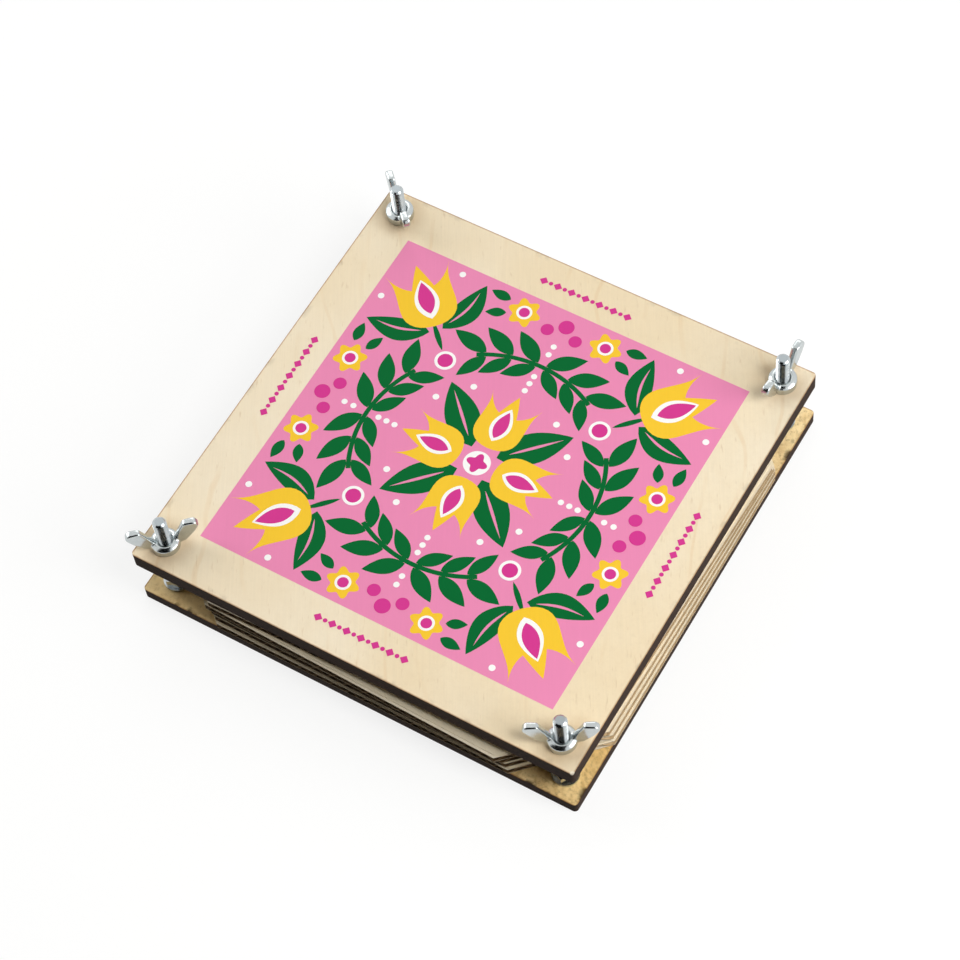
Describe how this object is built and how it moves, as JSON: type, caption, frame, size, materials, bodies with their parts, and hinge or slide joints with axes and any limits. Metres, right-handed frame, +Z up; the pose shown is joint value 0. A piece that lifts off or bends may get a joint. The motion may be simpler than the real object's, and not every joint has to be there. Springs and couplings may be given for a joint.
{
  "type": "flower press",
  "caption": "Square flower press: plywood boards clamped by corner bolts with wing nuts over a stack of corrugated card and blotting paper.",
  "frame": {"origin": "centre of the bottom board's underside, on the surface that the press stands on", "axes": "+Z up along the bolts; +X and +Y along the board's sides, the flutes run along Y"},
  "size_m": [0.1788, 0.1819, 0.0462],
  "materials": {
    "birch_plywood": "sanded birch faces, laser-burnt edges",
    "corrugated_card": "raw kraft, open flutes",
    "blotting_paper": "uncoated, cream",
    "zinc_plated_steel": "bright zinc plate",
    "wing_nut_casting": "tumbled casting, bright zinc plate"
  },
  "bodies": {
    "base": {"bottom_board": "birch_plywood", "bolt_left": "zinc_plated_steel", "washer_left": "zinc_plated_steel", "lock_nut_left": "zinc_plated_steel", "bolt_front": "zinc_plated_steel", "washer_front": "zinc_plated_steel", "lock_nut_front": "zinc_plated_steel", "bolt_right": "zinc_plated_steel", "washer_right": "zinc_plated_steel", "lock_nut_right": "zinc_plated_steel", "bolt_back": "zinc_plated_steel", "washer_back": "zinc_plated_steel", "lock_nut_back": "zinc_plated_steel", "card_1": "corrugated_card", "blotter_1_lower": "blotting_paper"},
    "leaf_1": {"blotter_1_upper": "blotting_paper", "card_2": "corrugated_card", "blotter_2_lower": "blotting_paper"},
    "leaf_2": {"blotter_2_upper": "blotting_paper", "card_3": "corrugated_card", "blotter_3_lower": "blotting_paper"},
    "leaf_3": {"blotter_3_upper": "blotting_paper", "card_4": "corrugated_card", "blotter_4_lower": "blotting_paper"},
    "leaf_4": {"blotter_4_upper": "blotting_paper", "card_5": "corrugated_card"},
    "lid": {"top_board": "birch_plywood"},
    "nut_left": {"wing_nut_left": "wing_nut_casting"},
    "nut_front": {"wing_nut_front": "wing_nut_casting"},
    "nut_right": {"wing_nut_right": "wing_nut_casting"},
    "nut_back": {"wing_nut_back": "wing_nut_casting"}
  },
  "joints": [
    {"name": "leaf_1_lift", "type": "slide", "parent": "base", "child": "leaf_1", "axis": [0, 0, 1], "range_m": [0, 0.04]},
    {"name": "leaf_2_lift", "type": "slide", "parent": "leaf_1", "child": "leaf_2", "axis": [0, 0, 1], "range_m": [0, 0.04]},
    {"name": "leaf_3_lift", "type": "slide", "parent": "leaf_2", "child": "leaf_3", "axis": [0, 0, 1], "range_m": [0, 0.04]},
    {"name": "leaf_4_lift", "type": "slide", "parent": "leaf_3", "child": "leaf_4", "axis": [0, 0, 1], "range_m": [0, 0.04]},
    {"name": "board_lift", "type": "slide", "parent": "leaf_4", "child": "lid", "axis": [0, 0, 1], "range_m": [0, 0.0112]},
    {"name": "nut_left_turn", "type": "hinge", "parent": "lid", "child": "nut_left", "pos_m": [-0.0785, -0.0785, 0.0302], "axis": [0, 0, 1], "range_deg": [0, 5040]},
    {"name": "nut_front_turn", "type": "hinge", "parent": "lid", "child": "nut_front", "pos_m": [0.0785, -0.0785, 0.0302], "axis": [0, 0, 1], "range_deg": [0, 5040]},
    {"name": "nut_right_turn", "type": "hinge", "parent": "lid", "child": "nut_right", "pos_m": [0.0785, 0.0785, 0.0302], "axis": [0, 0, 1], "range_deg": [0, 5040]},
    {"name": "nut_back_turn", "type": "hinge", "parent": "lid", "child": "nut_back", "pos_m": [-0.0785, 0.0785, 0.0302], "axis": [0, 0, 1], "range_deg": [0, 5040]}
  ],
  "couplings": [
    {"joint": "nut_left_turn", "follows": "board_lift", "rad_per_m": 7854},
    {"joint": "nut_front_turn", "follows": "board_lift", "rad_per_m": 7854},
    {"joint": "nut_right_turn", "follows": "board_lift", "rad_per_m": 7854},
    {"joint": "nut_back_turn", "follows": "board_lift", "rad_per_m": 7854}
  ]
}
